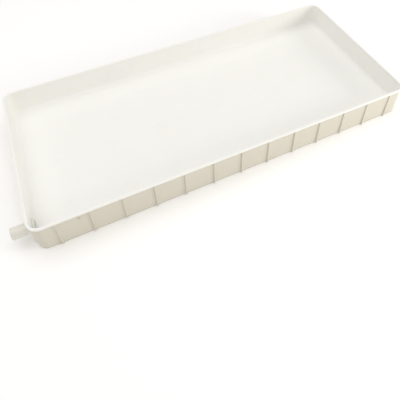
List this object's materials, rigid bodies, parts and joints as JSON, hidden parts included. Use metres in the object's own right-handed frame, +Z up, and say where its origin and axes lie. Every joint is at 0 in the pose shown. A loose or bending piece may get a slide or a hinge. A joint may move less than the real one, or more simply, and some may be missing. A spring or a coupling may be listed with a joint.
{
  "type": "drain tray",
  "caption": "Long shallow open tray with ribbed drafted walls, an out-turned rim and a snap-in hose spout through one end wall.",
  "frame": {"origin": "middle of the underside, level with the skirt's lower edge and the webs under the floor", "axes": "+X along the tray away from the drain end, +Y across it to the rear long wall, +Z up out of the open top"},
  "size_m": [1.039, 0.45, 0.088],
  "materials": {
    "tray_moulding": "satin moulded polypropylene, warm white",
    "spout_moulding": "satin moulded polypropylene, warm white",
    "washer_silicone": "matte milky silicone rubber",
    "strainer_moulding": "satin moulded polyethylene, natural white"
  },
  "bodies": {
    "root": {"tray_body": "tray_moulding", "drain_spout": "spout_moulding", "drain_washer": "washer_silicone", "drain_strainer": "strainer_moulding"}
  },
  "joints": []
}
